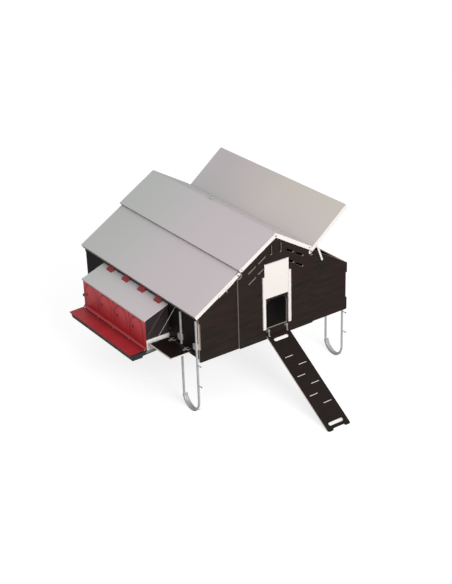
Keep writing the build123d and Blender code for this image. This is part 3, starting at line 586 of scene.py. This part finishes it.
def dome(bm, centre, normal, radius, height):
    """A low round screw head, added to a bmesh."""
    turn = normal.normalized().to_track_quat("Z", "Y")
    rings = []
    for ring in range(DOME_RINGS):
        lift = math.pi / 2 * ring / DOME_RINGS
        r = radius * math.cos(lift)
        h = height * math.sin(lift)
        loop = []
        for side in range(DOME_SIDES):
            a = 2 * math.pi * side / DOME_SIDES
            loop.append(bm.verts.new(centre + turn @ Vector((r * math.cos(a), r * math.sin(a), h))))
        rings.append(loop)
    for low, high in zip(rings, rings[1:]):
        join_rings(bm, low, high)
    top = bm.verts.new(centre + turn @ Vector((0, 0, height)))
    for side in range(DOME_SIDES):
        bm.faces.new((rings[-1][side], rings[-1][(side + 1) % DOME_SIDES], top))
    bm.faces.new(rings[0][::-1])


def screw_heads(name, spots, normal, radius, height, material):
    """A group of like screw heads as one piece, with radius and height in millimetres."""
    bm = bmesh.new()
    for spot in spots:
        dome(bm, spot, Vector(normal), radius * MM, height * MM)
    return shaded(name, bm, material, 60)


def rail_screws():
    """Screws down both door rails, on the face of the rails."""
    face_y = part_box("door_rail_left")[0][1]
    spots = []
    for x in (-RAIL_SCREW_X, RAIL_SCREW_X):
        for z in RAIL_SCREW_Z:
            spot = at(x, 0, z)
            spot.y = face_y
            spots.append(spot)
    piece = screw_heads("rail_screws", spots, (0, -1, 0), 4.0, 1.6, PLATED)
    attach(piece, "coop_body")


def lid_hinge_screws():
    """Three screws in each hinge leaf on the lid."""
    top = lid_z(HINGE_SCREW_X) + LEAF_THICK * math.sqrt(1 + LID_FALL ** 2)
    spots = []
    for index in range(CELLS):
        middle = NEST_Y + index * CELL + HINGE_MIDDLE
        for offset in HINGE_SCREWS:
            spots.append(at(HINGE_SCREW_X, middle + offset, top))
    piece = screw_heads("lid_hinge_screws", spots, (-LID_FALL, 0, 1), 5.0, 2.0, BLACK_AND_HOLE_SHADE)
    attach(piece, "nest_lid_body")


rail_screws()
lid_hinge_screws()


# ---------------------------------------------------------------- shelf stay cable
CABLE_TOP = at(-1010, 436, 497)
CABLE_LOW = at(-1216, 531, 116)
CABLE_R = 2.0
CABLE_STRANDS = 6
CABLE_GROOVE = 0.2               # half of the depth between two strands
CABLE_TURNS = 35
CABLE_STEPS = 180
CABLE_SIDES = 12


def stay_cable():
    """Twisted wire, drawn taut between the wall eye and the shelf eye."""
    run = CABLE_LOW - CABLE_TOP
    turn = run.to_track_quat("Z", "Y")
    bm = bmesh.new()
    rings = []
    for step in range(CABLE_STEPS + 1):
        t = step / CABLE_STEPS
        twist = t * CABLE_TURNS * 2 * math.pi
        ring = []
        for side in range(CABLE_SIDES):
            a = 2 * math.pi * side / CABLE_SIDES
            r = (CABLE_R - CABLE_GROOVE + CABLE_GROOVE * math.cos(CABLE_STRANDS * a + twist)) * MM
            spot = Vector((r * math.cos(a), r * math.sin(a), t * run.length))
            ring.append(bm.verts.new(CABLE_TOP + turn @ spot))
        rings.append(ring)
    for low, high in zip(rings, rings[1:]):
        join_rings(bm, low, high)
    bm.faces.new(rings[0][::-1])
    bm.faces.new(rings[-1])
    piece = shaded("stay_cable", bm, CABLE, 60)
    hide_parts("shelf_stay_cable")
    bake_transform(piece)


stay_cable()


# ---------------------------------------------------------------- nest end panels
END_X = (-1001.0, NEST_OUT_X)
END_LOW = 122.0
END_BELOW_LID = 4.0
END_STEPS = 60
SHEET = 1.6
SHEET_PROUD = 0.4                # of the sheet's outer face, past the nest's end
FOLD_TOP = Vector((-1012.0, 455.0))
FOLD_FOOT = Vector((-1275.0, 140.0))
FOLD_HIGH = 6.0
FOLD_HALF = 30.0
FOLD_FADE = 6                    # steps in from the sheet's edges


def fold_height(x, z, from_edge):
    """How far the diagonal fold stands out at x and z, faded out at the sheet's edges."""
    line = (FOLD_FOOT - FOLD_TOP).normalized()
    offset = Vector((x, z)) - FOLD_TOP
    distance = abs(offset.x * line.y - offset.y * line.x)
    return FOLD_HIGH * (1 - smooth(0, FOLD_HALF, distance)) * min(1.0, from_edge / FOLD_FADE)


def end_panel(name, y, outward):
    """Thin end sheet of the nest with a diagonal stiffening fold."""
    inner_x, outer_x = END_X
    bm = bmesh.new()
    face = []
    back = []
    for row in range(END_STEPS + 1):
        face.append([])
        back.append([])
        for step in range(END_STEPS + 1):
            x = inner_x + (outer_x - inner_x) * step / END_STEPS
            high = lid_z(x) - END_BELOW_LID
            z = END_LOW + (high - END_LOW) * row / END_STEPS
            from_edge = min(step, END_STEPS - step, row, END_STEPS - row)
            out = fold_height(x, z, from_edge) + SHEET_PROUD
            face[-1].append(bm.verts.new(at(x, y + outward * out, z)))
            back[-1].append(bm.verts.new(at(x, y + outward * (out - SHEET), z)))
    close_sheet(bm, face, back)
    piece = shaded(name, bm, NEST_GREY, 50)
    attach(piece, "coop_body")
    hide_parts("nest_ends")


end_panel("nest_end_front", NEST_Y, -1)
end_panel("nest_end_back", NEST_Y + CELLS * CELL, 1)


# ---------------------------------------------------------------- floor, light, camera
FLOOR_HALF = 40.0
FLOOR_DROP = 0.001
FLOOR_GLOW = 0.74
KEY_PLACE = (-1.5, -11.0, 5.5)
KEY_TARGET = (0, 0, 0.9)
KEY_SIZE = 5.0
KEY_POWER = 1050
SKY = 0.66
GROUND = 0.34
HORIZON_BAND = 0.15
AZIMUTH = math.radians(-34.67)
ELEVATION = math.radians(26.4)
ROLL = math.radians(-1.86)
CAMERA_PLACE = at(-7374.9, -9716.8, 6596.9)
LENS = 78.64
SENSOR = 36.0


def stage_floor():
    """Plain pale floor that takes shadows but throws no light on the object."""
    mesh = bpy.data.meshes.new("floor")
    corners = [(-1, -1), (1, -1), (1, 1), (-1, 1)]
    mesh.from_pydata([(x * FLOOR_HALF, y * FLOOR_HALF, 0) for x, y in corners], [], [(0, 1, 2, 3)])
    look = Shader("floor")
    look.bsdf.inputs["Emission Color"].default_value = (1.0, 1.0, 1.0, 1.0)
    look.bsdf.inputs["Emission Strength"].default_value = FLOOR_GLOW
    look.finish((0.40, 0.40, 0.40, 1.0), 0.9, specular=0.1)
    mesh.materials.append(look.mat)
    floor = shown("floor", mesh)
    floor.location.z = -FLOOR_DROP
    floor.visible_diffuse = False
    floor.visible_glossy = False


def key_light():
    """A square soft light in front of the gable."""
    data = bpy.data.lights.new("key", "AREA")
    data.shape = "SQUARE"
    data.size = KEY_SIZE
    data.energy = KEY_POWER
    light = shown("key", data)
    light.location = KEY_PLACE
    light.rotation_mode = "QUATERNION"
    light.rotation_quaternion = (Vector(KEY_TARGET) - Vector(KEY_PLACE)).to_track_quat("-Z", "Y")


def studio_world():
    """Even light from above and a dimmer one from below."""
    world = bpy.data.worlds.new("studio")
    world.use_nodes = True
    tree = world.node_tree
    coord = tree.nodes.new("ShaderNodeTexCoord")
    split = tree.nodes.new("ShaderNodeSeparateXYZ")
    blend = tree.nodes.new("ShaderNodeMapRange")
    tree.links.new(coord.outputs["Generated"], split.inputs[0])
    tree.links.new(split.outputs["Z"], blend.inputs["Value"])
    blend.inputs["From Min"].default_value = -HORIZON_BAND
    blend.inputs["From Max"].default_value = HORIZON_BAND
    blend.inputs["To Min"].default_value = GROUND
    blend.inputs["To Max"].default_value = SKY
    background = tree.nodes["Background"]
    background.inputs["Color"].default_value = (1.0, 1.0, 1.0, 1.0)
    tree.links.new(blend.outputs[0], background.inputs["Strength"])
    bpy.context.scene.world = world


def aim_camera():
    """Camera at the chosen direction, with a small roll."""
    flat = math.cos(ELEVATION)
    back = Vector((math.sin(AZIMUTH) * flat, -math.cos(AZIMUTH) * flat, math.sin(ELEVATION)))
    level_right = Vector((math.cos(AZIMUTH), math.sin(AZIMUTH), 0))
    level_up = back.cross(level_right)
    right = level_right * math.cos(ROLL) + level_up * math.sin(ROLL)
    up = level_up * math.cos(ROLL) - level_right * math.sin(ROLL)
    data = bpy.data.cameras.new("camera")
    data.lens = LENS
    data.sensor_width = SENSOR
    camera = shown("camera", data)
    turn = Matrix((right, up, back)).transposed().to_4x4()
    camera.matrix_world = Matrix.Translation(CAMERA_PLACE) @ turn
    bpy.context.scene.camera = camera


stage_floor()
key_light()
studio_world()
aim_camera()
bpy.context.scene.view_settings.view_transform = "Standard"
